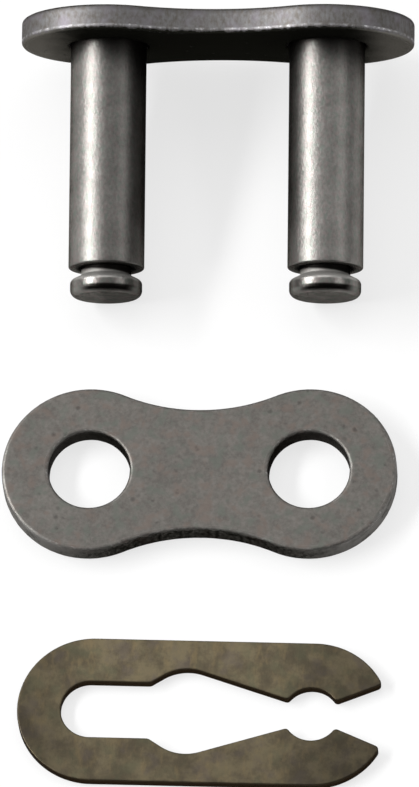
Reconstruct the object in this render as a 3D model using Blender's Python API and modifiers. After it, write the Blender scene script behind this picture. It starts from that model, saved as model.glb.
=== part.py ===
"""Clip connecting link for a half-inch pitch roller chain, laid out as it is supplied.

Two grooved pins are riveted into an outer plate. A cover plate slips over their ends, and
a spring clip snaps into their grooves and holds it there. The three loose items lie in a
row on a flat surface: the pin link on its side, resting on the edge of its plate and on
its two pin heads, and the cover plate and the clip flat.
"""
import math

import bmesh
import bpy

MM = 0.001
COLLECTION = "clip_connecting_link"

# Chain size
PITCH = 12.7 * MM
INNER_ROOM = 11.7 * MM  # clear width between the two plates of the joined link

# Plates, both cut to the same outline
PLATE_HEIGHT = 10.16 * MM
WAIST_HEIGHT = 7.56 * MM
PLATE_THICKNESS = 1.45 * MM
PLATE_EDGE_ROUND = 0.2 * MM

# Pins
PIN_DIAMETER = 4.4 * MM
SHOULDER_ROUND = 0.24 * MM
GROOVE_DEPTH = 0.75 * MM
GROOVE_ROUND = 0.16 * MM
HEAD_INSET = 0.11 * MM  # how far the head stays inside the pin's own surface
HEAD_LENGTH = 0.98 * MM
HEAD_BACK_ROUND = 0.14 * MM
HEAD_FRONT_ROUND = 0.38 * MM
HEAD_DOME = 0.05 * MM

# Riveted ends of the pins
RIVET_HEIGHT = 0.35 * MM
RIVET_SPREAD = 0.22 * MM
RIVET_ROUND = 0.2 * MM
DIMPLE_RADIUS = 0.9 * MM
DIMPLE_DEPTH = 0.16 * MM

# Spring clip
CLIP_THICKNESS = 0.7 * MM
CLIP_EDGE_ROUND = 0.09 * MM
ARM_WIDTH = 2.69 * MM
BOW_WIDTH = 2.52 * MM
RELIEF_START = 3.4 * MM  # from the first pin to the step out of the slot
RELIEF_ANGLE = 33.0
TAPER_ANGLE = 17.8
MOUTH_ANGLE = 23.0
THROAT_BITE = 0.74 * MM  # how far the inner nibs close in over the pocket
MOUTH_BITE = 0.79 * MM  # how far the outer nibs close in over it
STEP_ROUND = 0.45 * MM
RELIEF_ROUND = 2.6 * MM
NIB_ROUND = 0.25 * MM
TIP_ROUND = 0.25 * MM
TIP_REACH = 0.09 * MM  # from the second pin to the middle of the arms' outer rounding

# Fits between the pieces
RIVET_FIT = 0.03 * MM  # round a pin in its own plate, and under its riveted end
SLIP_FIT = 0.13 * MM  # round a pin in the cover plate
COVER_PLAY = 0.02 * MM  # from the cover plate to the groove
GROOVE_PLAY = 0.05 * MM  # from the clip to the sides of the groove
SLOT_PLAY = 0.25 * MM  # from the neck of the first pin to the slot
POCKET_PLAY = 0.15 * MM  # from the neck of the second pin to the pocket

# The row on the surface
LINK_GAP = 5.07 * MM
CLIP_GAP = 5.12 * MM
LINK_SHIFT = 0.77 * MM  # to the right of the cover plate
CLIP_SHIFT = 0.36 * MM
CLIP_TURN = -1.35

# Fineness of the round stretches
ARC_STEP = 6.0
FILLET_STEP = 18.0
ROUND_SIDES = 40
EDGE_SEGMENTS = 2

PLATE_STEEL = (0.165, 0.155, 0.142)
PIN_STEEL = (0.36, 0.35, 0.335)
CLIP_STEEL = (0.130, 0.108, 0.072)


def clear_scene():
    for item in list(bpy.data.objects):
        bpy.data.objects.remove(item, do_unlink=True)


def new_collection(name):
    collection = bpy.data.collections.new(name)
    bpy.context.scene.collection.children.link(collection)
    return collection


def steel(name, colour, roughness):
    material = bpy.data.materials.new(name)
    material.use_nodes = True
    shader = material.node_tree.nodes["Principled BSDF"]
    shader.inputs["Base Color"].default_value = (*colour, 1.0)
    shader.inputs["Metallic"].default_value = 1.0
    shader.inputs["Roughness"].default_value = roughness
    return material


def unit(degrees):
    return math.cos(math.radians(degrees)), math.sin(math.radians(degrees))


def bearing(start, end):
    """The direction from one point to another, in degrees."""
    return math.degrees(math.atan2(end[1] - start[1], end[0] - start[0]))


def arc(centre, radius, start, end, step=ARC_STEP):
    """Points from one angle to another, with one at each whole step between them."""
    low, high = min(start, end), max(start, end)
    steps = range(math.ceil((low + 1) / step), math.floor((high - 1) / step) + 1)
    angles = [low, *(i * step for i in steps), high]
    if end < start:
        angles.reverse()
    return [(centre[0] + radius * unit(a)[0], centre[1] + radius * unit(a)[1]) for a in angles]


def fillet(corner, radius, before, after):
    """The rounding of a corner between a line that arrives at one angle and leaves at another."""
    turn = (after - before + 180) % 360 - 180
    side = math.copysign(1, turn)
    reach = radius / math.cos(math.radians(turn / 2))
    inward = unit((before + turn / 2) + 90 * side)
    centre = (corner[0] + reach * inward[0], corner[1] + reach * inward[1])
    start = before - 90 * side
    return arc(centre, radius, start, start + turn, FILLET_STEP)


def rounding_centre(point, angle, radius, hub, distance, side):
    """The centre of a rounding above a sloping line, at a set distance from a hub."""
    along = unit(angle)
    base = (point[0] - radius * along[1] - hub[0], point[1] + radius * along[0] - hub[1])
    middle = base[0] * along[0] + base[1] * along[1]
    spare = distance ** 2 - base[0] ** 2 - base[1] ** 2 + middle ** 2
    run = -middle + side * math.sqrt(spare)
    return hub[0] + base[0] + run * along[0], hub[1] + base[1] + run * along[1]


def flat_blank(name, outlines, thickness, edge_round, material, collection):
    """A plate pressed out of sheet and tumbled, with its outer outline first, then its holes."""
    rounding = min(edge_round, 0.4 * thickness)
    curve = bpy.data.curves.new(name + "_outline", "CURVE")
    curve.dimensions = "2D"
    curve.fill_mode = "BOTH"
    curve.extrude = thickness / 2 - rounding
    curve.bevel_depth = rounding
    curve.bevel_resolution = EDGE_SEGMENTS - 1
    curve.offset = -rounding
    for outline in outlines:
        spline = curve.splines.new("POLY")
        spline.points.add(len(outline) - 1)
        for point, (x, y) in zip(spline.points, outline):
            point.co = (x, y, 0.0, 1.0)
        spline.use_cyclic_u = True
    guide = bpy.data.objects.new(name + "_outline", curve)
    collection.objects.link(guide)
    bpy.context.view_layer.update()
    evaluated = guide.evaluated_get(bpy.context.evaluated_depsgraph_get())
    mesh = bpy.data.meshes.new_from_object(evaluated)
    mesh.name = name
    mesh.transform(guide.matrix_world)
    bpy.data.objects.remove(guide, do_unlink=True)
    weld(mesh)
    mesh.materials.clear()
    mesh.materials.append(material)
    blank = bpy.data.objects.new(name, mesh)
    collection.objects.link(blank)
    return blank


def weld(mesh):
    """Joins the two faces of a filled outline to its wall."""
    work = bmesh.new()
    work.from_mesh(mesh)
    bmesh.ops.remove_doubles(work, verts=work.verts, dist=0.001 * MM)
    bmesh.ops.recalc_face_normals(work, faces=work.faces)
    work.to_mesh(mesh)
    work.free()
    mesh.shade_smooth()
    mesh.set_sharp_from_angle(angle=math.radians(30))


def plate_outline():
    """The waisted figure of eight: two round ends joined by hollow flanks."""
    half = PITCH / 2
    end = PLATE_HEIGHT / 2
    waist = WAIST_HEIGHT / 2
    hollow = (half ** 2 + waist ** 2 - end ** 2) / (2 * (end - waist))
    join = bearing((half, 0), (0, waist + hollow))
    flank = 180 - join
    return [
        *arc((half, 0), end, -join, join)[:-1],
        *arc((0, waist + hollow), hollow, -flank, -join)[:-1],
        *arc((-half, 0), end, flank, 360 - flank)[:-1],
        *arc((0, -waist - hollow), hollow, join, flank)[:-1],
    ]


def pin_hole(x, clearance):
    radius = PIN_DIAMETER / 2 + clearance
    turns = [360 * i / ROUND_SIDES for i in range(ROUND_SIDES)]
    return [(x + radius * unit(a)[0], radius * unit(a)[1]) for a in turns]


def plate(name, clearance, material, collection):
    holes = [pin_hole(side * PITCH / 2, clearance) for side in (-1, 1)]
    outlines = [plate_outline(), *holes]
    return flat_blank(name, outlines, PLATE_THICKNESS, PLATE_EDGE_ROUND, material, collection)


def pin_levels():
    """Heights along a pin above its plate's inner face: shoulder, back of the head, end."""
    shoulder = INNER_ROOM + PLATE_THICKNESS + COVER_PLAY
    head = shoulder + CLIP_THICKNESS + GROOVE_PLAY
    return shoulder, head, head + HEAD_LENGTH


def pin_profile():
    """Radius and height of a pin's outline, from the middle of its head down to its rivet."""
    body = PIN_DIAMETER / 2
    neck = body - GROOVE_DEPTH
    head = body - HEAD_INSET
    rivet = body + RIVET_SPREAD
    shoulder, back, end = pin_levels()
    seat = -PLATE_THICKNESS - RIVET_FIT
    foot = seat - RIVET_HEIGHT
    front = HEAD_FRONT_ROUND
    points = [(0.0, end + HEAD_DOME), ((head - front) / 2, end + HEAD_DOME * 0.75)]
    points += arc((head - front, end - front), front, 90, 0, FILLET_STEP)
    points += arc((head - HEAD_BACK_ROUND, back + HEAD_BACK_ROUND), HEAD_BACK_ROUND, 0, -90, 30)
    points += arc((neck + GROOVE_ROUND, back - GROOVE_ROUND), GROOVE_ROUND, 90, 180, 30)
    points += arc((neck + GROOVE_ROUND, shoulder + GROOVE_ROUND), GROOVE_ROUND, 180, 270, 30)
    points += arc((body - SHOULDER_ROUND, shoulder - SHOULDER_ROUND), SHOULDER_ROUND, 90, 0, 22.5)
    points += [(body, seat), (rivet, seat)]
    points += arc((rivet - RIVET_ROUND, foot + RIVET_ROUND), RIVET_ROUND, 0, -90, 30)
    points += [(DIMPLE_RADIUS, foot), (DIMPLE_RADIUS / 2, foot + DIMPLE_DEPTH * 0.75)]
    points.append((0.0, foot + DIMPLE_DEPTH))
    return points


def pin(name, material, collection):
    profile = pin_profile()
    mesh = bpy.data.meshes.new(name)
    verts = [(radius, 0.0, height) for radius, height in profile]
    edges = [(i, i + 1) for i in range(len(profile) - 1)]
    mesh.from_pydata(verts, edges, [])
    mesh.materials.append(material)
    body = bpy.data.objects.new(name, mesh)
    collection.objects.link(body)
    turned = body.modifiers.new("turned", "SCREW")
    turned.axis = "Z"
    turned.angle = math.radians(360)
    turned.steps = ROUND_SIDES
    turned.render_steps = ROUND_SIDES
    turned.use_merge_vertices = True
    turned.merge_threshold = 0.001 * MM
    turned.use_smooth_shade = True
    return body


def resting_tilt():
    """How far the pins dip, and how high their axes lie at the plate, when the link lies down.

    The link touches the surface at two roundings: the inner edge of its plate, and the
    front edge of the pin heads. The surface is the line that touches both.
    """
    edge = (-PLATE_EDGE_ROUND, PLATE_HEIGHT / 2 - PLATE_EDGE_ROUND)
    head_radius = PIN_DIAMETER / 2 - HEAD_INSET
    rim = (pin_levels()[2] - HEAD_FRONT_ROUND, head_radius - HEAD_FRONT_ROUND)
    span = math.dist(edge, rim)
    lean = math.asin((PLATE_EDGE_ROUND - HEAD_FRONT_ROUND) / span)
    tilt = lean - math.radians(bearing(edge, rim))
    height = edge[0] * math.sin(tilt) + edge[1] * math.cos(tilt) + PLATE_EDGE_ROUND
    reach = rim[0] * math.cos(tilt) + rim[1] * math.sin(tilt) + HEAD_FRONT_ROUND
    return tilt, height, reach


def clip_sizes():
    """Half the slot, the pocket's radius and half the height over both arms."""
    neck = PIN_DIAMETER / 2 - GROOVE_DEPTH
    slot = neck + SLOT_PLAY
    return slot, neck + POCKET_PLAY, slot + ARM_WIDTH


def clip_half_outline():
    """The upper arm, from the bottom of the slot round its tip to the back of the bow."""
    slot, pocket, half_height = clip_sizes()
    first, second = (-PITCH / 2, 0.0), (PITCH / 2, 0.0)
    throat = pocket - THROAT_BITE
    mouth = pocket - MOUTH_BITE
    inner_nib = (second[0] - math.sqrt(pocket ** 2 - throat ** 2), throat)
    outer_nib = (second[0] + math.sqrt(pocket ** 2 - mouth ** 2), mouth)
    step = (first[0] + RELIEF_START, slot)
    rise, fall = math.tan(math.radians(RELIEF_ANGLE)), math.tan(math.radians(TAPER_ANGLE))
    run = (inner_nib[1] - slot + fall * (inner_nib[0] - step[0])) / (rise + fall)
    crest = (step[0] + run, slot + rise * run)

    points = arc(first, slot, 180, 90)
    points += fillet(step, STEP_ROUND, 0, RELIEF_ANGLE)
    points += fillet(crest, RELIEF_ROUND, RELIEF_ANGLE, -TAPER_ANGLE)
    inner = rounding_centre(inner_nib, -TAPER_ANGLE, NIB_ROUND, second, pocket + NIB_ROUND, -1)
    points += arc(inner, NIB_ROUND, -90 - TAPER_ANGLE, bearing(inner, second), FILLET_STEP)
    outer = rounding_centre(outer_nib, MOUTH_ANGLE, NIB_ROUND, second, pocket + NIB_ROUND, 1)
    points += arc(second, pocket, bearing(second, inner), bearing(second, outer))[1:-1]
    points += arc(outer, NIB_ROUND, bearing(outer, second), MOUTH_ANGLE - 90, FILLET_STEP)
    end = (second[0] + TIP_REACH, 0.0)
    tip = rounding_centre(outer_nib, MOUTH_ANGLE, TIP_ROUND, end, half_height - TIP_ROUND, 1)
    points += arc(tip, TIP_ROUND, MOUTH_ANGLE - 90, bearing(end, tip), FILLET_STEP)
    points += arc(end, half_height, bearing(end, tip), 90)[1:]
    bow = (first[0] - slot - BOW_WIDTH + half_height, 0.0)
    points += arc(bow, half_height, 90, 180)
    return points


def spring_clip(name, material, collection):
    upper = clip_half_outline()
    lower = [(x, -y) for x, y in reversed(upper[1:-1])]
    return flat_blank(
        name, [upper + lower], CLIP_THICKNESS, CLIP_EDGE_ROUND, material, collection
    )


def empty(name, collection):
    holder = bpy.data.objects.new(name, None)
    collection.objects.link(holder)
    return holder


def pin_link(collection):
    """The outer plate with its two riveted pins, lying on its side with the pins in front."""
    tilt, height, reach = resting_tilt()
    link = empty("pin_link", collection)
    link.location = (LINK_SHIFT, PLATE_HEIGHT / 2 + LINK_GAP + reach, height)
    link.rotation_euler.x = math.radians(90) + tilt
    back = plate("pin_plate", RIVET_FIT, steel("pin_plate", PLATE_STEEL, 0.42), collection)
    back.location.z = -PLATE_THICKNESS / 2
    back.parent = link
    for name, side in (("left_pin", -1), ("right_pin", 1)):
        body = pin(name, steel(name, PIN_STEEL, 0.3), collection)
        body.location.x = side * PITCH / 2
        body.parent = link
    return link


def loose_cover(collection):
    cover = plate("cover_plate", SLIP_FIT, steel("cover_plate", PLATE_STEEL, 0.5), collection)
    cover.location.z = PLATE_THICKNESS / 2
    return cover


def loose_clip(collection):
    half_height = clip_sizes()[2]
    swing = PITCH / 2 * math.sin(math.radians(abs(CLIP_TURN)))
    clip = spring_clip("spring_clip", steel("spring_clip", CLIP_STEEL, 0.45), collection)
    row = PLATE_HEIGHT / 2 + CLIP_GAP + half_height + swing
    clip.location = (CLIP_SHIFT, -row, CLIP_THICKNESS / 2)
    clip.rotation_euler.z = math.radians(CLIP_TURN)
    return clip


def stand_on_origin(layout, items):
    """Moves the row so that the origin lies under the middle of its box."""
    bpy.context.view_layer.update()
    graph = bpy.context.evaluated_depsgraph_get()
    corners = []
    for item in items:
        if item.type == "MESH":
            shape = item.evaluated_get(graph)
            corners += [shape.matrix_world @ vertex.co for vertex in shape.data.vertices]
    for axis in (0, 1):
        values = [corner[axis] for corner in corners]
        layout.location[axis] = -(min(values) + max(values)) / 2


def build():
    clear_scene()
    collection = new_collection(COLLECTION)
    layout = empty("layout", collection)
    for item in (pin_link(collection), loose_cover(collection), loose_clip(collection)):
        item.parent = layout
    stand_on_origin(layout, collection.objects)


build()
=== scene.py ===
"""The clip connecting link of a roller chain, taken apart and laid out in a row on a white table."""

import math

import bmesh
import bpy
from mathutils import Matrix, Vector


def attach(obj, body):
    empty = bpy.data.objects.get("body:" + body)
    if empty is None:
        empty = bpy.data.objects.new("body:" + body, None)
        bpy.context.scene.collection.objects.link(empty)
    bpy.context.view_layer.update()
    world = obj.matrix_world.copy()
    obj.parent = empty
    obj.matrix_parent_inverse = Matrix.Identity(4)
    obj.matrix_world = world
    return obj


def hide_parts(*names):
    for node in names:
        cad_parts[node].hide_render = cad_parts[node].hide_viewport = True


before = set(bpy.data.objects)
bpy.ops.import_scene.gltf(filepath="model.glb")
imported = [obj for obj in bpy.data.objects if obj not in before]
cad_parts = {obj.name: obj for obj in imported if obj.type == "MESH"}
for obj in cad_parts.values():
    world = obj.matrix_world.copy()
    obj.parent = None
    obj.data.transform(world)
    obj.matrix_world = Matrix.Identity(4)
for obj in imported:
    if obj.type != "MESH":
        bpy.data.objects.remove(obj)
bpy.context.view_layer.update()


# Pin plate: the outer link plate that both pins are riveted into, blanked out of strip steel with a
# slight waist, its edge sheared upright and its corners rolled and tumbled. It stands on that edge,
# leaning a little, because the link rests on it and on the two pin heads.
MM = 0.001
PITCH = 12.7 * MM
PLATE_HEIGHT = 10.16 * MM
WAIST_HEIGHT = 7.56 * MM
PLATE_THICKNESS = 1.45 * MM
PLATE_EDGE_ROUND = 0.22 * MM
PLATE_EDGE_STEPS = 30
SHEAR_DEPTH = 0.03 * MM
BURR_PLACE = 0.24
PIN_DIAMETER = 4.4 * MM
RIVET_FIT = 0.03 * MM
OUTLINE_STEP = 0.11 * MM
LINK_PLACE = (0.385 * MM, 20.9945 * MM, 4.9428 * MM)
LINK_LEAN = math.radians(101.468)
PLATE_FACE_DARK = (0.115, 0.107, 0.098, 1.0)
PLATE_FACE_LIGHT = (0.2, 0.188, 0.173, 1.0)
PLATE_FACE_BROWN = (0.178, 0.142, 0.124, 1.0)
PLATE_FACE_GREEN = (0.134, 0.15, 0.13, 1.0)
INSIDE_GREY = (0.2, 0.19, 0.172, 1.0)
# Painted shade on the pin plate's inner face between the pins.
INSIDE_PAINTED_SHADE = (0.028, 0.028, 0.023, 1.0)
SHEARED_STEEL = (0.225, 0.223, 0.226, 1.0)
SHEARED_BROWN = (0.15, 0.137, 0.125, 1.0)
SHEARED_LILAC = (0.25, 0.228, 0.265, 1.0)
PUNCHED_DARK = (0.03, 0.025, 0.022, 1.0)
PLATE_EDGE_TINT = (0.12, 0.12, 0.12, 1.0)
BRIGHT_BURR = (0.85, 0.84, 0.86, 1.0)
# Black of the pits in the faces, and painted shade on the walls of the holes.
SPECK_AND_HOLE_SHADE_BLACK = (0.02, 0.018, 0.016, 1.0)


class Wire:
    """A socket of a node tree. A sum or product of wires and numbers adds its Math nodes."""

    def __init__(self, wiring, socket):
        self.wiring = wiring
        self.socket = socket

    def maths(self, operation, *others):
        return self.wiring.maths(operation, self, *others)

    def __add__(self, other):
        return self.maths("ADD", other)

    def __sub__(self, other):
        return self.maths("SUBTRACT", other)

    def __rsub__(self, other):
        return self.wiring.maths("SUBTRACT", other, self)

    def __mul__(self, other):
        return self.maths("MULTIPLY", other)

    def __truediv__(self, other):
        return self.maths("DIVIDE", other)

    __radd__ = __add__
    __rmul__ = __mul__

    def part(self, axis):
        """The X, Y or Z of a place."""
        return self.wiring.add("ShaderNodeSeparateXYZ", None, {"Vector": self}, axis)

    def between(self, low, high):
        """0 up to low, 1 from high, and a smooth rise from one to the other."""
        sockets = {"Value": self, "From Min": low, "From Max": high}
        return self.wiring.add("ShaderNodeMapRange", {"interpolation_type": "SMOOTHSTEP"}, sockets)

    def band(self, start, full, fading, end):
        """1 from full to fading, with a smooth rise before and a smooth fall after."""
        return self.between(start, full) * (1 - self.between(fading, end))

    def colour(self, low, high):
        """One colour where this is 0, and another where it is 1."""
        sockets = {"Factor": self, 6: low, 7: high}
        return self.wiring.add("ShaderNodeMix", {"data_type": "RGBA"}, sockets, 2)


class Wiring:
    """The node tree of one material or of one shape."""

    def __init__(self, tree):
        self.tree = tree

    def add(self, kind, settings=None, sockets=None, output=0):
        """A new node: its type, its settings, and then the values or wires of its sockets."""
        node = self.tree.nodes.new(kind)
        for name, value in (settings or {}).items():
            setattr(node, name, value)
        for name, value in (sockets or {}).items():
            for item in value if isinstance(value, list) else [value]:
                if isinstance(item, Wire):
                    self.tree.links.new(item.socket, node.inputs[name])
                else:
                    node.inputs[name].default_value = item
        return Wire(self, node.outputs[output]) if node.outputs else node

    def maths(self, operation, *values):
        return self.add("ShaderNodeMath", {"operation": operation}, dict(enumerate(values)))


def even_arc(centre, radius, start, end):
    """Points along an arc, about one outline step apart, without the last one."""
    count = max(3, math.ceil(math.radians(abs(end - start)) * radius / OUTLINE_STEP))
    turns = [math.radians(start + (end - start) * i / count) for i in range(count)]
    return [(centre[0] + radius * math.cos(t), centre[1] + radius * math.sin(t)) for t in turns]


def plate_outline():
    """The waisted figure of eight: two round ends joined by hollow flanks."""
    half, end, waist = PITCH / 2, PLATE_HEIGHT / 2, WAIST_HEIGHT / 2
    hollow = (half ** 2 + waist ** 2 - end ** 2) / (2 * (end - waist))
    join = math.degrees(math.atan2(waist + hollow, -half))
    flank = 180 - join
    return [
        *even_arc((half, 0), end, -join, join),
        *even_arc((0, waist + hollow), hollow, -flank, -join),
        *even_arc((-half, 0), end, flank, 360 - flank),
        *even_arc((0, -waist - hollow), hollow, join, flank),
    ]


def pin_hole(x, clearance):
    """A round hole, run round the other way than an outer outline."""
    return even_arc((x, 0), PIN_DIAMETER / 2 + clearance, 360, 0)


def shape_tree(name, sizes):
    """A node tree that works on a start shape: its wiring, and its inputs by their names."""
    tree = bpy.data.node_groups.new(name, "GeometryNodeTree")
    for size, kind in (("Geometry", "Geometry"), *sizes, ("Finish", "Material")):
        tree.interface.new_socket(size, in_out="INPUT", socket_type="NodeSocket" + kind)
    tree.interface.new_socket("Geometry", in_out="OUTPUT", socket_type="NodeSocketGeometry")
    wiring = Wiring(tree)
    entry = tree.nodes.new("NodeGroupInput")
    return wiring, {socket.name: Wire(wiring, socket) for socket in entry.outputs}


def close_shape_tree(wiring, shape, finish, seam):
    """Merges points closer than the seam, and ends the tree in a real mesh with its finish."""
    shape = wiring.add("GeometryNodeMergeByDistance", None, {"Geometry": shape, "Distance": seam})
    shape = wiring.add("GeometryNodeRealizeInstances", None, {"Geometry": shape})
    shape = wiring.add("GeometryNodeSetMaterial", None, {"Geometry": shape, "Material": finish})
    wiring.add("NodeGroupOutput", None, {0: shape})
    return wiring.tree


def pressed_blank_tree():
    """A blank out of strip: its outlines swept with the edge's cross-section, and its two faces filled.

    The sheared wall keeps three readings for its finish: the share of wall, the run along the
    outline in millimetres, and the way across the edge from 0 at the lower face to 1 at the upper.
    """
    wiring, inputs = shape_tree("pressed_blank", (
        ("Thickness", "Float"), ("Edge round", "Float"), ("Edge steps", "Int"),
        ("Shear depth", "Float"), ("Seed", "Float"),
    ))
    half = inputs["Thickness"] / 2
    rounding = inputs["Edge round"]

    def keep_reading(shape, name, value):
        sockets = {"Geometry": shape, "Name": name, "Value": value}
        settings = {"data_type": "FLOAT", "domain": "POINT"}
        return wiring.add("GeometryNodeStoreNamedAttribute", settings, sockets)

    outline = wiring.add("GeometryNodeSetCurveNormal", {"mode": "Z_UP"}, {"Curve": inputs["Geometry"]})
    run = wiring.add("GeometryNodeSplineParameter", output="Length") / MM
    outline = keep_reading(outline, "along", run)

    # The cross-section: a U of four points with its two outer corners rounded, in even steps.
    corner = wiring.add("GeometryNodeInputIndex")
    outer = corner.maths("COMPARE", 1.5, 0.6)
    upper = corner.maths("LESS_THAN", 1.5) * 2 - 1
    corner_place = wiring.add(
        "ShaderNodeCombineXYZ", None, {"X": (outer - 1) * rounding * 1.6, "Y": upper * half}
    )
    section = wiring.add("GeometryNodeCurvePrimitiveLine", None, {"End": (0.0, 1.0, 0.0)})
    section = wiring.add("GeometryNodeResampleCurve", {"mode": "COUNT"}, {"Curve": section, "Count": 4})
    section = wiring.add(
        "GeometryNodeSetPosition", None, {"Geometry": section, "Position": corner_place}
    )
    section = wiring.add(
        "GeometryNodeFilletCurve", {"mode": "POLY"},
        {"Curve": section, "Radius": rounding, "Limit Radius": False, "Count": 12},
    )
    steps = {"Curve": section, "Count": inputs["Edge steps"]}
    section = wiring.add("GeometryNodeResampleCurve", {"mode": "COUNT"}, steps)
    across = wiring.add("GeometryNodeSplineParameter", output="Factor")
    section = keep_reading(section, "across", across)

    # The swept rim's normals still point into the metal, so the shear marks are pressed inwards.
    rim = wiring.add("GeometryNodeCurveToMesh", None, {"Curve": outline, "Profile Curve": section})
    along, across = (
        wiring.add("GeometryNodeInputNamedAttribute", {"data_type": "FLOAT"}, {"Name": name})
        for name in ("along", "across")
    )
    height = wiring.add("GeometryNodeInputPosition").part("Z")
    wall = 1 - (height.maths("ABSOLUTE") / half).between(0.75, 1.0)
    rim = keep_reading(rim, "wall", wall)
    marks = wiring.add(
        "ShaderNodeCombineXYZ", None, {"X": along * 3.2, "Y": across * 2.5, "Z": inputs["Seed"]}
    )
    ripple = wiring.add("ShaderNodeTexNoise", None, {"Vector": marks, "Scale": 1.0, "Detail": 2.0})
    depth = wall * ripple * inputs["Shear depth"]
    inward = wiring.add("GeometryNodeInputNormal")
    push = wiring.add("ShaderNodeVectorMath", {"operation": "SCALE"}, {0: inward, "Scale": depth})
    rim = wiring.add("GeometryNodeSetPosition", None, {"Geometry": rim, "Offset": push})

    open_edge = wiring.add("GeometryNodeInputMeshEdgeNeighbors").maths("LESS_THAN", 1.5)
    faces = []
    for side in (1, -1):
        on_side = (height * side).maths("GREATER_THAN", 0.0)
        loops = wiring.add(
            "GeometryNodeMeshToCurve", None, {"Mesh": rim, "Selection": open_edge * on_side}
        )
        face = wiring.add("GeometryNodeFillCurve", {"mode": "TRIANGLES"}, {"Curve": loops})
        lift = wiring.add("ShaderNodeCombineXYZ", None, {"Z": half * side})
        faces.append(wiring.add("GeometryNodeTransform", None, {"Geometry": face, "Translation": lift}))
    blank = wiring.add("GeometryNodeJoinGeometry", None, {"Geometry": [rim, *faces]})
    return close_shape_tree(wiring, blank, inputs["Finish"], 0.002 * MM)


def shape_by_nodes(name, start, tree, sizes, place):
    """Runs a node tree on a start shape, and puts the plain mesh that comes out in its place."""
    carrier = bpy.data.objects.new(name + "_start", start)
    bpy.context.scene.collection.objects.link(carrier)
    modifier = carrier.modifiers.new("shape", "NODES")
    modifier.node_group = tree
    for socket in tree.interface.items_tree:
        if socket.in_out == "INPUT" and socket.name in sizes:
            modifier[socket.identifier] = sizes[socket.name]
    bpy.context.view_layer.update()
    evaluated = carrier.evaluated_get(bpy.context.evaluated_depsgraph_get())
    mesh = bpy.data.meshes.new_from_object(evaluated)
    bpy.data.objects.remove(carrier, do_unlink=True)
    mesh.name = name
    mesh.transform(place)
    work = bmesh.new()
    work.from_mesh(mesh)
    bmesh.ops.remove_doubles(work, verts=work.verts, dist=0.001 * MM)
    bmesh.ops.recalc_face_normals(work, faces=work.faces)
    work.to_mesh(mesh)
    work.free()
    mesh.shade_smooth()
    # The CAD node of the same name keeps that name, so the shown piece gets its own.
    piece = bpy.data.objects.new(name + "_finished", mesh)
    bpy.context.scene.collection.objects.link(piece)
    return piece


def outline_curve(name, outlines):
    """Closed flat outlines as one curve, the outer one first."""
    curve = bpy.data.curves.new(name + "_outline", "CURVE")
    curve.dimensions = "3D"
    for outline in outlines:
        spline = curve.splines.new("POLY")
        spline.points.add(len(outline) - 1)
        for point, (x, y) in zip(spline.points, outline):
            point.co = (x, y, 0.0, 1.0)
        spline.use_cyclic_u = True
    return curve


def new_finish(name):
    """An empty material: its wiring and its shader node."""
    material = bpy.data.materials.new(name)
    material.use_nodes = True
    return material, Wiring(material.node_tree), material.node_tree.nodes["Principled BSDF"]


def own_place(wiring, place, lean=0.0, turn=0.0):
    """Where a point lies on its own piece, in millimetres, with the piece laid back flat and square."""
    here = wiring.add("ShaderNodeTexCoord", output="Object")
    sockets = {"Vector": here, "Location": place, "Rotation": (lean, 0.0, turn), "Scale": (MM, MM, MM)}
    return wiring.add("ShaderNodeMapping", {"vector_type": "TEXTURE"}, sockets)


def grain(wiring, where, scale, detail=3.0, stretch=(1.0, 1.0, 1.0), roughness=0.5):
    """A noise with about scale lumps in a millimetre, drawn out where stretch is below 1."""
    where = wiring.add("ShaderNodeMapping", None, {"Vector": where, "Scale": stretch})
    sockets = {"Vector": where, "Scale": scale, "Detail": detail, "Roughness": roughness}
    return wiring.add("ShaderNodeTexNoise", None, sockets)


def reading(wiring, name):
    """What a blank keeps at each of its points: wall, along or across."""
    return wiring.add("ShaderNodeAttribute", {"attribute_name": name}, output="Fac")


def finish_surface(wiring, shader, colour, roughness, relief, relief_depth, edge_tint):
    """Joins colour, roughness and relief to a bare metal shader that dims to its tint edge on."""
    bump = wiring.add("ShaderNodeBump", None, {"Height": relief, "Distance": relief_depth})
    shader.inputs["Metallic"].default_value = 1.0
    shader.inputs["Specular Tint"].default_value = edge_tint
    for name, wire in (("Base Color", colour), ("Roughness", roughness), ("Normal", bump)):
        wiring.tree.links.new(wire.socket, shader.inputs[name])


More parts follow.
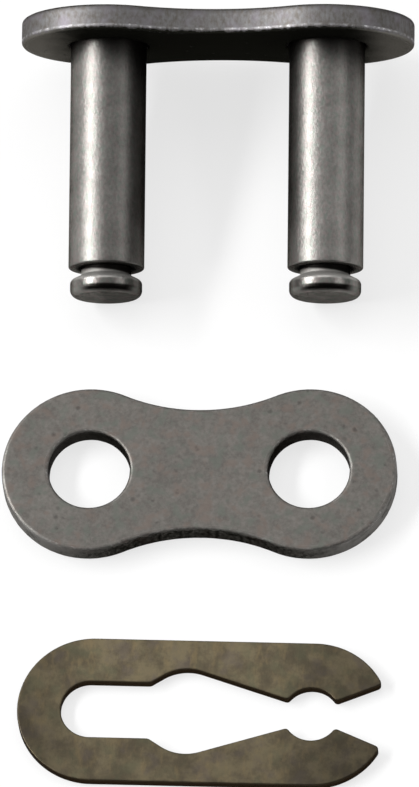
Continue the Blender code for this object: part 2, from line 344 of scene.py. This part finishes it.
def plate_finish(name, place, lean, sheared, burr_place, riveted):
    """Tumbled strip steel: a fine grey speckle on the faces, and upright shear marks on the edge.

    Sheared gives the colours of the edge and of its burr. Burr_place is how far across the edge the
    burr lies, from 0 at the upper face to 1 at the lower. Riveted tells the pin plate, which gets
    painted shade in black on its inner face between and round its pins and no burr round its holes,
    from the loose plate, which wore bright at its round ends.
    """
    material, wiring, shader = new_finish(name)
    where = own_place(wiring, place, lean)
    from_waist = where.part("X").maths("ABSOLUTE")
    upward = where.part("Y")
    speckle = grain(wiring, where, 4.6, 4.0, roughness=0.65)
    lumps = grain(wiring, where, 1.9, 4.0, roughness=0.6)
    cloud = grain(wiring, where, 0.55, 3.0)
    hue = grain(wiring, where, 1.2, 3.0)
    pits = wiring.add("ShaderNodeTexVoronoi", None, {"Vector": where, "Scale": 1.15})
    speck = (1 - pits.between(0.05, 0.26)) * lumps.between(0.45, 0.6)

    tone = speckle.between(0.3, 0.7) * 0.5 + lumps.between(0.3, 0.7) * 0.3
    tone = tone + cloud.between(0.35, 0.65) * 0.2
    face = tone.colour(PLATE_FACE_DARK, PLATE_FACE_LIGHT)
    face = (hue.between(0.52, 0.66) * 0.55).colour(face, PLATE_FACE_BROWN)
    face = ((1 - hue.between(0.34, 0.48)) * 0.55).colour(face, PLATE_FACE_GREEN)
    # The riveted plate's inner face: its own grey towards the ends, and painted shade in black between
    # and round the pins.
    if riveted:
        inside_grey_and_shade = (from_waist + cloud * 1.5).between(8.2, 11.2).colour(INSIDE_PAINTED_SHADE, INSIDE_GREY)
        face = where.part("Z").between(-0.25, -0.1).colour(face, inside_grey_and_shade)
    face = (speck * 0.45).colour(face, SPECK_AND_HOLE_SHADE_BLACK)

    # The edge: upright shear marks in three tones, torn where it meets the faces.
    wall = reading(wiring, "wall")
    across = 1 - reading(wiring, "across")
    run = wiring.add("ShaderNodeCombineXYZ", None, {"X": reading(wiring, "along"), "Y": across})
    shear = grain(wiring, run, 1.0, 4.0, (4.2, 5.0, 1.0), 0.62)
    tint = grain(wiring, run, 1.0, 2.0, (0.8, 1.6, 1.0))
    tear = grain(wiring, run, 1.0, 3.0, (2.6, 1.4, 1.0), 0.6)
    steel, brown, lilac, burr_tone = sheared
    edge = shear.between(0.3, 0.7).colour(brown, steel)
    edge = (tint.between(0.45, 0.75) * 0.6).colour(edge, lilac)
    ragged = (wall + (tear - 0.5) * 2.2 + (shear - 0.5) * 0.8).between(0.3, 0.62)
    ragged = (ragged * wall.between(0.0, 0.1)).maths("MAXIMUM", wall.between(0.7, 0.9))
    colour = ragged.colour(face, edge)

    # The burr: a broken bright line near the upper face, but not round the riveted pins. The pin
    # plate's edge is darker towards its back, where the punch broke through.
    glint = grain(wiring, run, 1.0, 3.0, (5.0, 14.0, 1.0), 0.7).between(0.5, 0.64)
    from_burr = (across + (shear - 0.5) * 0.07 - burr_place).maths("ABSOLUTE")
    burr = 1 - from_burr.between(0.015, 0.055)
    burr = burr * (tear.between(0.4, 0.62) * 0.6 + tint.between(0.42, 0.58) * 0.4)
    beside = from_waist - PITCH / 2 / MM
    in_hole = 1 - (beside * beside + upward * upward).between(7.0, 9.0)
    if riveted:
        burr = burr * (1 - in_hole)
    colour = (burr * (glint * 0.7 + 0.3)).colour(colour, burr_tone)
    if riveted:
        punched = (across + (shear - 0.5) * 0.1).between(0.68, 0.82) * 0.45
        colour = punched.colour(colour, PUNCHED_DARK)
    else:
        worn_end = from_waist.between(4.0, 11.0) * (tint.between(0.35, 0.6) * 0.35 + 0.45)
        colour = (worn_end * wall.between(0.0, 0.3)).colour(colour, burr_tone)
    # Painted shade in black on the walls of the holes.
    colour = (in_hole * wall.between(0.5, 0.8) * 0.75).colour(colour, SPECK_AND_HOLE_SHADE_BLACK)

    roughness = 0.47 + speckle * 0.14 + ragged * 0.05
    relief = speckle * 0.35 + lumps * 0.3 - speck * 0.4 + wall * shear * 0.9
    finish_surface(wiring, shader, colour, roughness, relief, 0.012 * MM, PLATE_EDGE_TINT)
    return material


pressed_blank = pressed_blank_tree()
link_matrix = Matrix.Translation(LINK_PLACE) @ Matrix.Rotation(LINK_LEAN, 4, "X")
plate_rise = Matrix.Translation((0.0, 0.0, -PLATE_THICKNESS / 2))
plate_holes = [pin_hole(side * PITCH / 2, RIVET_FIT) for side in (-1, 1)]
pin_plate = shape_by_nodes(
    "pin_plate", outline_curve("pin_plate", [plate_outline(), *plate_holes]), pressed_blank,
    {
        "Thickness": PLATE_THICKNESS, "Edge round": PLATE_EDGE_ROUND,
        "Edge steps": PLATE_EDGE_STEPS, "Shear depth": SHEAR_DEPTH, "Seed": 1.0,
        "Finish": plate_finish(
            "pin_plate_steel", LINK_PLACE, LINK_LEAN,
            (SHEARED_STEEL, SHEARED_BROWN, SHEARED_LILAC, BRIGHT_BURR), BURR_PLACE, True,
        ),
    },
    link_matrix @ plate_rise,
)
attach(pin_plate, "root")
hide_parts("pin_plate")


# Pins: two pins of drawn steel, turned down near the free end to a groove for the clip with a
# button head beyond it, barrel polished, and riveted over at the back of their plate.
INNER_ROOM = 11.7 * MM
COVER_PLAY = 0.02 * MM
GROOVE_PLAY = 0.05 * MM
CLIP_THICKNESS = 0.7 * MM
PIN_SHOULDER = INNER_ROOM + PLATE_THICKNESS + COVER_PLAY
HEAD_BACK = PIN_SHOULDER + CLIP_THICKNESS + GROOVE_PLAY
SHOULDER_ROUND = 0.1 * MM
GROOVE_DEPTH = 0.75 * MM
GROOVE_ROUND = 0.08 * MM
HEAD_INSET = 0.11 * MM
HEAD_LENGTH = 0.98 * MM
HEAD_DOME = 0.04 * MM
HEAD_SLOPE = 63.0  # how far the side towards the groove leans back, 90 for a square flange
HEAD_FOOT_ROUND = 0.16 * MM
HEAD_BACK_ROUND = 0.3 * MM
HEAD_BACK_RUN = 0.2 * MM  # from the back of the head to its full width
HEAD_FRONT_ROUND = 0.42 * MM
HEAD_FRONT_TURN = 74.0  # how far the front rounding turns before the rim takes over
HEAD_RIM_ROUND = 0.1 * MM
RIVET_HEIGHT = 0.35 * MM
RIVET_SPREAD = 0.22 * MM
RIVET_ROUND = 0.2 * MM
DIMPLE_RADIUS = 0.9 * MM
DIMPLE_DEPTH = 0.16 * MM
PIN_SIDES = 120
PIN_DULL = (0.175, 0.167, 0.156, 1.0)
PIN_BRIGHT = (0.315, 0.302, 0.285, 1.0)
# Black of the painted shade on the pins.
PIN_PAINTED_SHADE = (0.012, 0.011, 0.01, 1.0)
# Worn steel of the head's flare, which also serves as a painted highlight there.
PIN_WORN_AND_HIGHLIGHT = (0.6, 0.585, 0.56, 1.0)
PIN_PINK = (0.265, 0.222, 0.215, 1.0)
PIN_GREEN = (0.2, 0.232, 0.203, 1.0)
PIN_EDGE_TINT = (0.08, 0.08, 0.08, 1.0)


def turned_corner(centre, radius, start, end, steps=9):
    """The rounding of a turned corner, as radius and height."""
    turns = [math.radians(start + (end - start) * i / steps) for i in range(steps + 1)]
    return [(centre[0] + radius * math.cos(t), centre[1] + radius * math.sin(t)) for t in turns]


def pin_profile():
    """Radius and height of the pin's outline, from the middle of its head down to its rivet."""
    body = PIN_DIAMETER / 2
    neck = body - GROOVE_DEPTH
    head = body - HEAD_INSET
    rivet = body + RIVET_SPREAD
    seat = -PLATE_THICKNESS - RIVET_FIT
    foot = seat - RIVET_HEIGHT
    turn, slope = math.radians(HEAD_FRONT_TURN), math.radians(HEAD_SLOPE)

    # The end face, the rim, and the front rounding up to the head's full width.
    face = HEAD_BACK + HEAD_LENGTH - HEAD_DOME
    rim = (head - HEAD_FRONT_ROUND * (1 - math.cos(turn)) - HEAD_RIM_ROUND * math.cos(turn),
           face - HEAD_RIM_ROUND)
    front = (head - HEAD_FRONT_ROUND,
             rim[1] + HEAD_RIM_ROUND * math.sin(turn) - HEAD_FRONT_ROUND * math.sin(turn))
    points = [(rim[0] * i / 6, face + HEAD_DOME * (1 - (i / 6) ** 2)) for i in range(6)]
    points += turned_corner(rim, HEAD_RIM_ROUND, 88, HEAD_FRONT_TURN, 5)
    points += turned_corner(front, HEAD_FRONT_ROUND, HEAD_FRONT_TURN, 0, 12)[1:]

    # The side towards the groove runs down a slope into the neck.
    widest = (head - HEAD_BACK_ROUND, HEAD_BACK + HEAD_BACK_RUN)
    points += turned_corner(widest, HEAD_BACK_ROUND, 0, -HEAD_SLOPE, 10)
    climb = points[-1][0] - neck - HEAD_FOOT_ROUND * (1 - math.cos(slope))
    foot_top = points[-1][1] - climb / math.tan(slope) - HEAD_FOOT_ROUND * math.sin(slope)
    points += turned_corner(
        (neck + HEAD_FOOT_ROUND, foot_top), HEAD_FOOT_ROUND, 180 - HEAD_SLOPE, 180, 7
    )
    points += turned_corner(
        (neck + GROOVE_ROUND, PIN_SHOULDER + GROOVE_ROUND), GROOVE_ROUND, 180, 270
    )
    points += turned_corner(
        (body - SHOULDER_ROUND, PIN_SHOULDER - SHOULDER_ROUND), SHOULDER_ROUND, 90, 0
    )
    points += [(body, PIN_SHOULDER * i / 20) for i in range(19, 0, -1)]
    points += [(body, seat), (rivet, seat)]
    points += turned_corner((rivet - RIVET_ROUND, foot + RIVET_ROUND), RIVET_ROUND, 0, -90)
    for i in range(9, -1, -1):
        share = i / 9
        points.append((DIMPLE_RADIUS * share, foot + DIMPLE_DEPTH * (1 - share ** 2)))
    return points


def turned_pin_tree():
    """A pin turned out of its profile: each point of the profile goes once round the axis."""
    wiring, inputs = shape_tree("turned_pin", (("Sides", "Int"),))
    profile, sides = inputs["Geometry"], inputs["Sides"]
    count = wiring.add("GeometryNodeAttributeDomainSize", {"component": "MESH"}, {"Geometry": profile})
    lattice = wiring.add(
        "GeometryNodeMeshGrid", None,
        {"Size X": 1.0, "Size Y": 1.0, "Vertices X": sides + 1, "Vertices Y": count},
    )
    index = wiring.add("GeometryNodeInputIndex")
    turn = (index / count).maths("FLOOR") / sides * math.tau
    point = wiring.add(
        "GeometryNodeSampleIndex", {"data_type": "FLOAT_VECTOR", "domain": "POINT"},
        {
            "Geometry": profile, "Value": wiring.add("GeometryNodeInputPosition"),
            "Index": index.maths("MODULO", count),
        },
    )
    radius = point.part("X")
    place = wiring.add(
        "ShaderNodeCombineXYZ", None,
        {"X": radius * turn.maths("COSINE"), "Y": radius * turn.maths("SINE"), "Z": point.part("Z")},
    )
    pin = wiring.add("GeometryNodeSetPosition", None, {"Geometry": lattice, "Position": place})
    return close_shape_tree(wiring, pin, inputs["Finish"], 0.001 * MM)


def profile_mesh():
    """The pin's outline as a line of points beside its axis."""
    points = pin_profile()
    mesh = bpy.data.meshes.new("pin_profile")
    edges = [(i, i + 1) for i in range(len(points) - 1)]
    mesh.from_pydata([(radius, 0.0, height) for radius, height in points], edges, [])
    return mesh


def pin_finish(name, place, side):
    """Barrel-polished drawn steel: bright, with a fine mottle and the faintest turning rings."""
    material, wiring, shader = new_finish(name)
    where = own_place(wiring, place, LINK_LEAN)
    sideways, upward, along = (where.part(axis) for axis in "XYZ")
    past_shoulder = along - PIN_SHOULDER / MM
    mottle = grain(wiring, where, 6.0, 5.0, (1.0, 1.0, 0.7), 0.6)
    cloud = grain(wiring, where, 0.9, 3.0)
    tint = grain(wiring, where, 4.2, 3.0)
    rings = grain(wiring, where, 1.0, 2.0, (0.2, 0.2, 22.0))
    tone = mottle.between(0.25, 0.75) * 0.6 + cloud.between(0.3, 0.7) * 0.4
    colour = tone.colour(PIN_DULL, PIN_BRIGHT)
    colour = (tint.between(0.52, 0.66) * 0.6).colour(colour, PIN_PINK)
    colour = ((1 - tint.between(0.34, 0.48)) * 0.6).colour(colour, PIN_GREEN)

    # The flare of the head is worn bright where clips have slid over it, and the same colour is a
    # painted highlight over the crease between neck and head.
    flare_wear_and_highlight = past_shoulder.band(0.18, 0.43, 0.78, 0.98) * 0.7
    colour = flare_wear_and_highlight.colour(colour, PIN_WORN_AND_HIGHLIGHT)

    # Painted shade in black over the pin's own colour: at the root by the plate, on the side turned to
    # the other pin, thinly over the left pin's right half, under the shoulder in the groove, and in the
    # front rounding of the head. The riveted end behind the plate is bare.
    from_streak = (sideways + 0.75).maths("ABSOLUTE")
    reach = from_streak * 1.2 + 0.15 + cloud * 0.55
    root = 1 - (along / reach).between(-0.1, 1.0)
    inner = (sideways * -side).between(0.95, 2.1) * (0.74 - along.between(9.0, 14.0) * 0.55)
    left_half_shade = sideways.between(-0.5, 0.1) * (0.14 - 0.14 * side)
    groove = past_shoulder.between(-0.07, -0.01)
    groove = groove * (1 - (past_shoulder - sideways * 0.1).between(0.21, 0.35))
    groove = groove * (1 - (sideways * sideways + upward * upward).between(2.3, 3.6) * 0.9)
    ring = past_shoulder.band(1.17, 1.31, 1.51, 1.69)
    ring = ring * sideways.between(-1.7, -0.8) * (1 - sideways.between(1.2, 2.0) * 0.9)
    in_front = along.between(-1.2, -0.6)
    for shade_mask in (root, inner, left_half_shade, groove, ring):
        colour = (shade_mask * in_front).colour(colour, PIN_PAINTED_SHADE)

    polished = past_shoulder.band(0.73, 0.93, 1.33, 1.63) * 0.12
    roughness = 0.38 + mottle * 0.14 - polished + past_shoulder.band(0.03, 0.23, 0.68, 0.83) * 0.2
    relief = mottle * 1.3 + tint * 0.6 + rings * 0.15 + cloud * 1.2
    finish_surface(wiring, shader, colour, roughness, relief, 0.012 * MM, PIN_EDGE_TINT)
    return material


turned_pin = turned_pin_tree()
for name, side in (("left_pin", -1), ("right_pin", 1)):
    pin_matrix = link_matrix @ Matrix.Translation((side * PITCH / 2, 0.0, 0.0))
    finish = pin_finish(name + "_steel", pin_matrix.translation, side)
    sizes = {"Sides": PIN_SIDES, "Finish": finish}
    pin = shape_by_nodes(name, profile_mesh(), turned_pin, sizes, pin_matrix)
    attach(pin, "root")
    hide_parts(name)


# Cover plate: the loose outer plate, blanked by the same die as the pin plate, with two holes that
# slip over the pins. It was tumbled loose, so its round ends are worn brighter than its waist. Its
# edge colours are a darker copy of the pin plate's, as painted shade, and its hole walls carry
# painted shade in black. It lies flat, in front of the pin link.
COVER_PLACE = (-0.385 * MM, -4.1056 * MM, 0.725 * MM)
SLIP_FIT = 0.13 * MM
COVER_BURR_PLACE = 0.12
# A darker copy of the sheared edge colours: painted shade on the cover's edge.
COVER_SHADED_EDGE = (0.085, 0.081, 0.074, 1.0)
COVER_SHADED_EDGE_DARK = (0.008, 0.008, 0.006, 1.0)
COVER_SHADED_EDGE_BROWN = (0.035, 0.024, 0.02, 1.0)
COVER_BURR = (0.34, 0.33, 0.315, 1.0)

cover_holes = [pin_hole(side * PITCH / 2, SLIP_FIT) for side in (-1, 1)]
cover_plate = shape_by_nodes(
    "cover_plate", outline_curve("cover_plate", [plate_outline(), *cover_holes]), pressed_blank,
    {
        "Thickness": PLATE_THICKNESS, "Edge round": PLATE_EDGE_ROUND,
        "Edge steps": PLATE_EDGE_STEPS, "Shear depth": SHEAR_DEPTH, "Seed": 7.0,
        "Finish": plate_finish(
            "cover_plate_steel", COVER_PLACE, 0.0,
            (COVER_SHADED_EDGE, COVER_SHADED_EDGE_DARK, COVER_SHADED_EDGE_BROWN, COVER_BURR), COVER_BURR_PLACE, False,
        ),
    },
    Matrix.Translation(COVER_PLACE),
)
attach(cover_plate, "root")
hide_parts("cover_plate")


# Spring clip: one flat piece of spring steel that snaps into the grooves of both pins. It is pressed
# out with a round bow, a slot with a relief for the arms to flex, a pocket between two pairs of nibs
# and a flared mouth, then tempered, which leaves it bronze and olive with soft patches.
CLIP_PLACE = (-0.025 * MM, -18.8452 * MM, 0.35 * MM)
CLIP_TURN = math.radians(-1.35)
CLIP_EDGE_ROUND = 0.09 * MM
CLIP_EDGE_STEPS = 24
CLIP_SHEAR_DEPTH = 0.012 * MM
ARM_WIDTH = 2.69 * MM
BOW_WIDTH = 2.52 * MM
RELIEF_START = 3.4 * MM
RELIEF_ANGLE = 33.0
TAPER_ANGLE = 17.8
MOUTH_ANGLE = 23.0
THROAT_BITE = 0.74 * MM
MOUTH_BITE = 0.79 * MM
STEP_ROUND = 0.45 * MM
RELIEF_ROUND = 2.6 * MM
NIB_ROUND = 0.25 * MM
TIP_ROUND = 0.25 * MM
TIP_REACH = 0.09 * MM
SLOT_PLAY = 0.25 * MM
POCKET_PLAY = 0.15 * MM
TEMPER_OLIVE = (0.195, 0.162, 0.1, 1.0)
TEMPER_DARK = (0.105, 0.087, 0.06, 1.0)
TEMPER_BROWN = (0.03, 0.026, 0.019, 1.0)
TEMPER_GOLD = (0.22, 0.17, 0.095, 1.0)
TEMPER_PURPLE = (0.12, 0.1, 0.095, 1.0)
TEMPER_GREEN = (0.115, 0.118, 0.075, 1.0)
CLIP_EDGE_TINT = (0.3, 0.3, 0.3, 1.0)
CLIP_EDGE_BROWN = (0.045, 0.034, 0.023, 1.0)


def unit(degrees):
    return math.cos(math.radians(degrees)), math.sin(math.radians(degrees))


def bearing(start, end):
    """The direction from one point to another, in degrees."""
    return math.degrees(math.atan2(end[1] - start[1], end[0] - start[0]))


def fillet(corner, radius, before, after):
    """The rounding of a corner between a line that arrives at one angle and leaves at another."""
    turn = (after - before + 180) % 360 - 180
    side = math.copysign(1, turn)
    reach = radius / math.cos(math.radians(turn / 2))
    inward = unit((before + turn / 2) + 90 * side)
    centre = (corner[0] + reach * inward[0], corner[1] + reach * inward[1])
    start = before - 90 * side
    return closed_arc(centre, radius, start, start + turn)


def closed_arc(centre, radius, start, end):
    """The same as an even arc, with its last point."""
    last = (centre[0] + radius * unit(end)[0], centre[1] + radius * unit(end)[1])
    return [*even_arc(centre, radius, start, end), last]


def rounding_centre(point, angle, radius, hub, distance, side):
    """The centre of a rounding above a sloping line, at a set distance from a hub."""
    along = unit(angle)
    base = (point[0] - radius * along[1] - hub[0], point[1] + radius * along[0] - hub[1])
    middle = base[0] * along[0] + base[1] * along[1]
    spare = distance ** 2 - base[0] ** 2 - base[1] ** 2 + middle ** 2
    run = -middle + side * math.sqrt(spare)
    return hub[0] + base[0] + run * along[0], hub[1] + base[1] + run * along[1]


def clip_half_outline():
    """The upper arm, from the bottom of the slot round its tip to the back of the bow."""
    neck = PIN_DIAMETER / 2 - GROOVE_DEPTH
    slot, pocket = neck + SLOT_PLAY, neck + POCKET_PLAY
    half_height = slot + ARM_WIDTH
    first, second = (-PITCH / 2, 0.0), (PITCH / 2, 0.0)
    throat = pocket - THROAT_BITE
    mouth = pocket - MOUTH_BITE
    inner_nib = (second[0] - math.sqrt(pocket ** 2 - throat ** 2), throat)
    outer_nib = (second[0] + math.sqrt(pocket ** 2 - mouth ** 2), mouth)
    step = (first[0] + RELIEF_START, slot)
    rise, fall = math.tan(math.radians(RELIEF_ANGLE)), math.tan(math.radians(TAPER_ANGLE))
    run = (inner_nib[1] - slot + fall * (inner_nib[0] - step[0])) / (rise + fall)
    crest = (step[0] + run, slot + rise * run)

    points = closed_arc(first, slot, 180, 90)
    points += fillet(step, STEP_ROUND, 0, RELIEF_ANGLE)
    points += fillet(crest, RELIEF_ROUND, RELIEF_ANGLE, -TAPER_ANGLE)
    inner = rounding_centre(inner_nib, -TAPER_ANGLE, NIB_ROUND, second, pocket + NIB_ROUND, -1)
    points += closed_arc(inner, NIB_ROUND, -90 - TAPER_ANGLE, bearing(inner, second))
    outer = rounding_centre(outer_nib, MOUTH_ANGLE, NIB_ROUND, second, pocket + NIB_ROUND, 1)
    points += closed_arc(second, pocket, bearing(second, inner), bearing(second, outer))[1:-1]
    points += closed_arc(outer, NIB_ROUND, bearing(outer, second), MOUTH_ANGLE - 90)
    end = (second[0] + TIP_REACH, 0.0)
    tip = rounding_centre(outer_nib, MOUTH_ANGLE, TIP_ROUND, end, half_height - TIP_ROUND, 1)
    points += closed_arc(tip, TIP_ROUND, MOUTH_ANGLE - 90, bearing(end, tip))
    points += closed_arc(end, half_height, bearing(end, tip), 90)[1:]
    bow = (first[0] - slot - BOW_WIDTH + half_height, 0.0)
    points += closed_arc(bow, half_height, 90, 180)
    return points


def evenly_spaced(outline):
    """Fills the straight stretches of an outline with points as close as those of its arcs."""
    points = []
    for start, end in zip(outline, outline[1:] + outline[:1]):
        count = max(1, math.ceil(math.dist(start, end) / (1.5 * OUTLINE_STEP)))
        for i in range(count):
            share = i / count
            points.append(tuple(a + (b - a) * share for a, b in zip(start, end)))
    return points


def clip_finish(name):
    """Tempered spring steel: bronze and olive, in gold, purple and green patches, finely streaked."""
    material, wiring, shader = new_finish(name)
    where = own_place(wiring, CLIP_PLACE, 0.0, CLIP_TURN)
    sideways, upward = where.part("X"), where.part("Y")
    patch = grain(wiring, where, 0.75, 5.0, roughness=0.62)
    gold = grain(wiring, where, 1.3, 4.0, (1.5, 0.6, 1.0), 0.6)
    purple = grain(wiring, where, 0.95, 4.0)
    fine = grain(wiring, where, 10.0, 4.0, (1.0, 0.45, 1.0), 0.65)
    tone = patch.between(0.32, 0.66) * 0.8 + fine.between(0.3, 0.7) * 0.2
    colour = tone.colour(TEMPER_DARK, TEMPER_OLIVE)
    colour = (gold.between(0.48, 0.7) * 0.65).colour(colour, TEMPER_GOLD)
    colour = (purple.between(0.5, 0.7) * 0.42).colour(colour, TEMPER_PURPLE)
    colour = ((1 - purple.between(0.3, 0.48)) * 0.5).colour(colour, TEMPER_GREEN)

    # The temper ran deepest in the lower arm, round the bow and at the tips.
    heat = (1 - upward.between(-3.5, 3.5)) * 0.2 + (1 - sideways.between(-10.5, -6.0)) * 0.36
    heat = heat + sideways.between(3.5, 8.0) * 0.38 + 0.16 - patch.between(0.4, 0.62) * 0.1
    colour = heat.colour(colour, TEMPER_BROWN)
    colour = reading(wiring, "wall").between(0.0, 0.5).colour(colour, CLIP_EDGE_BROWN)
    roughness = 0.4 + fine * 0.16
    relief = fine * 0.8 + gold * 0.8
    finish_surface(wiring, shader, colour, roughness, relief, 0.01 * MM, CLIP_EDGE_TINT)
    return material


upper_arm = clip_half_outline()
lower_arm = [(x, -y) for x, y in reversed(upper_arm[1:-1])]
clip_outline = evenly_spaced(upper_arm + lower_arm)
spring_clip = shape_by_nodes(
    "spring_clip", outline_curve("spring_clip", [clip_outline]), pressed_blank,
    {
        "Thickness": CLIP_THICKNESS, "Edge round": CLIP_EDGE_ROUND,
        "Edge steps": CLIP_EDGE_STEPS, "Shear depth": CLIP_SHEAR_DEPTH, "Seed": 13.0,
        "Finish": clip_finish("clip_spring_steel"),
    },
    Matrix.Translation(CLIP_PLACE) @ Matrix.Rotation(CLIP_TURN, 4, "Z"),
)
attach(spring_clip, "root")
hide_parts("spring_clip")


# Table and light: a white table, a large soft lamp above and behind the row, a bright strip on the
# left that draws the streak down each pin, and a weak strip on the right for the second streak.
TABLE_SIZE = 4.0
TABLE_WHITE = (0.95, 0.95, 0.95, 1.0)
TABLE_GLOW = 0.72
CAMERA_TILT = math.radians(67.0)
CAMERA_TURN = math.radians(7.6)
CAMERA_DISTANCE = 0.9
PIXELS_PER_METRE = 17338.0
PICTURE_SIZE = (419, 787)
COVER_CENTRE_PIXEL = (198.96, 469.10)
SENSOR = 36.0

table_mesh = bpy.data.meshes.new("table")
half = TABLE_SIZE / 2
table_mesh.from_pydata(
    [(-half, -half, 0.0), (half, -half, 0.0), (half, half, 0.0), (-half, half, 0.0)], [], [(0, 1, 2, 3)]
)
table = bpy.data.objects.new("table", table_mesh)
bpy.context.scene.collection.objects.link(table)
table_finish, table_wiring, table_shader = new_finish("white_table")
table_shader.inputs["Base Color"].default_value = TABLE_WHITE
table_shader.inputs["Roughness"].default_value = 1.0
table_shader.inputs["Specular IOR Level"].default_value = 0.0
# Where it is seen, the table glows white, and the lit share of its look keeps the soft shadow.
seen = table_wiring.add("ShaderNodeLightPath", output="Is Camera Ray")
for ray in ("Is Glossy Ray", "Is Transmission Ray"):
    seen = seen.maths("MAXIMUM", table_wiring.add("ShaderNodeLightPath", output=ray))
white = table_wiring.add("ShaderNodeEmission", None, {"Color": (1.0, 1.0, 1.0, 1.0), "Strength": 1.0})
lit = Wire(table_wiring, table_shader.outputs["BSDF"])
mixed = table_wiring.add("ShaderNodeMixShader", None, {0: seen * TABLE_GLOW, 1: lit, 2: white})
table_output = table_wiring.tree.nodes["Material Output"]
table_wiring.tree.links.new(mixed.socket, table_output.inputs["Surface"])
table_mesh.materials.append(table_finish)


def soft_lamp(name, direction, distance, size, level):
    """A flat lamp that faces the row. Level is how bright its face looks, where 1 is white."""
    lamp = bpy.data.lights.new(name, "AREA")
    lamp.shape = "RECTANGLE"
    lamp.size, lamp.size_y = size
    lamp.energy = level * math.pi * size[0] * size[1]
    holder = bpy.data.objects.new(name, lamp)
    away = Vector(direction).normalized()
    facing = away.to_track_quat("Z", "Y").to_matrix().to_4x4()
    holder.matrix_world = Matrix.Translation(away * distance) @ facing
    bpy.context.scene.collection.objects.link(holder)


soft_lamp("back_lamp", (-0.05, 0.5, 0.866), distance=0.6, size=(0.5, 0.36), level=1.12)
soft_lamp("left_strip", (-0.77, 0.07, 0.634), distance=0.5, size=(0.42, 0.07), level=30.0)
soft_lamp("right_strip", (0.753, 0.068, 0.654), distance=0.5, size=(0.42, 0.05), level=4.5)

# The room is pale overhead, darker towards the viewer, and a little lighter behind the row.
world = bpy.data.worlds.new("room")
bpy.context.scene.world = world
world.use_nodes = True
room = Wiring(world.node_tree)
way = room.add("ShaderNodeTexCoord", output="Generated")
forward = way.part("Y") * -1
level = way.part("Z").between(0.1, 0.6) * (1 - forward.between(0.05, 0.45) * 0.85) * 0.4 + 0.03
level = level + (-0.2 - forward).between(0.0, 0.6) * 0.2
background = world.node_tree.nodes["Background"]
background.inputs["Color"].default_value = (1.0, 1.0, 1.0, 1.0)
world.node_tree.links.new(level.socket, background.inputs["Strength"])

# The camera stands in front of the row and looks steeply down, with the row level in the picture.
back = Vector((
    math.sin(CAMERA_TURN) * math.cos(CAMERA_TILT),
    -math.cos(CAMERA_TURN) * math.cos(CAMERA_TILT),
    math.sin(CAMERA_TILT),
))
level_right = Vector((0.0, 0.0, 1.0)).cross(back).normalized()
level_up = back.cross(level_right).normalized()
table_right = Vector((1.0, 0.0, 0.0))
roll = math.atan2(table_right.dot(level_up), table_right.dot(level_right))
right = level_right * math.cos(roll) + level_up * math.sin(roll)
up = back.cross(right)
cover_top = Vector((COVER_PLACE[0], COVER_PLACE[1], PLATE_THICKNESS))
aim = cover_top + (
    right * (PICTURE_SIZE[0] / 2 - COVER_CENTRE_PIXEL[0])
    + up * (COVER_CENTRE_PIXEL[1] - PICTURE_SIZE[1] / 2)
) / PIXELS_PER_METRE
camera_data = bpy.data.cameras.new("camera")
camera_data.sensor_width = SENSOR
camera_data.lens = SENSOR * CAMERA_DISTANCE / (PICTURE_SIZE[1] / PIXELS_PER_METRE)
camera_data.clip_start = 0.01
camera = bpy.data.objects.new("camera", camera_data)
camera_axes = Matrix((right, up, back)).transposed().to_4x4()
camera.matrix_world = Matrix.Translation(aim + back * CAMERA_DISTANCE) @ camera_axes
bpy.context.scene.collection.objects.link(camera)
bpy.context.scene.camera = camera
bpy.context.scene.view_settings.view_transform = "Standard"
